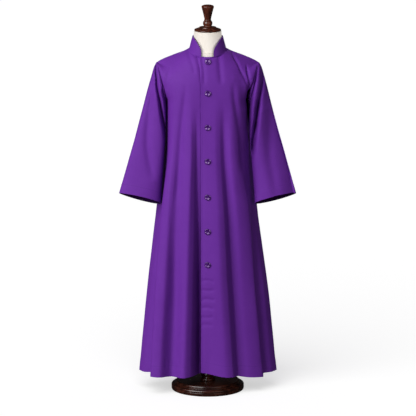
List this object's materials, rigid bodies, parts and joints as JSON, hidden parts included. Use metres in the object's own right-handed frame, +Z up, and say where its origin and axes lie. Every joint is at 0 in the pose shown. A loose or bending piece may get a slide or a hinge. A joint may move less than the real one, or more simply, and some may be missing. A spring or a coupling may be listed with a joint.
{
  "type": "cassock on a dress form",
  "caption": "Ankle-length button-front cassock with a standing collar and wide open sleeves, worn by a limbless dress form on a turned wooden stand.",
  "frame": {"origin": "on the floor, at the middle of the base's underside", "axes": "+Z up; -Y is the front of the garment; +X is the wearer's left"},
  "size_m": [0.779, 0.322, 1.723],
  "materials": {
    "cassock_cloth": "smooth matt twill, purple",
    "button": "polished, dished face, purple",
    "form_cover": "fine ivory jersey drawn tight over the form",
    "stand_wood": "turned, dark red-brown stain, satin polish"
  },
  "bodies": {
    "root": {"left_front": "cassock_cloth", "right_front": "cassock_cloth", "back": "cassock_cloth", "left_sleeve": "cassock_cloth", "right_sleeve": "cassock_cloth", "collar": "cassock_cloth", "button_1": "button", "button_2": "button", "button_3": "button", "button_4": "button", "button_5": "button", "button_6": "button", "button_7": "button", "form_torso": "form_cover", "neck_cap": "stand_wood", "finial": "stand_wood", "column": "stand_wood", "plinth": "stand_wood", "base": "stand_wood"}
  },
  "joints": []
}
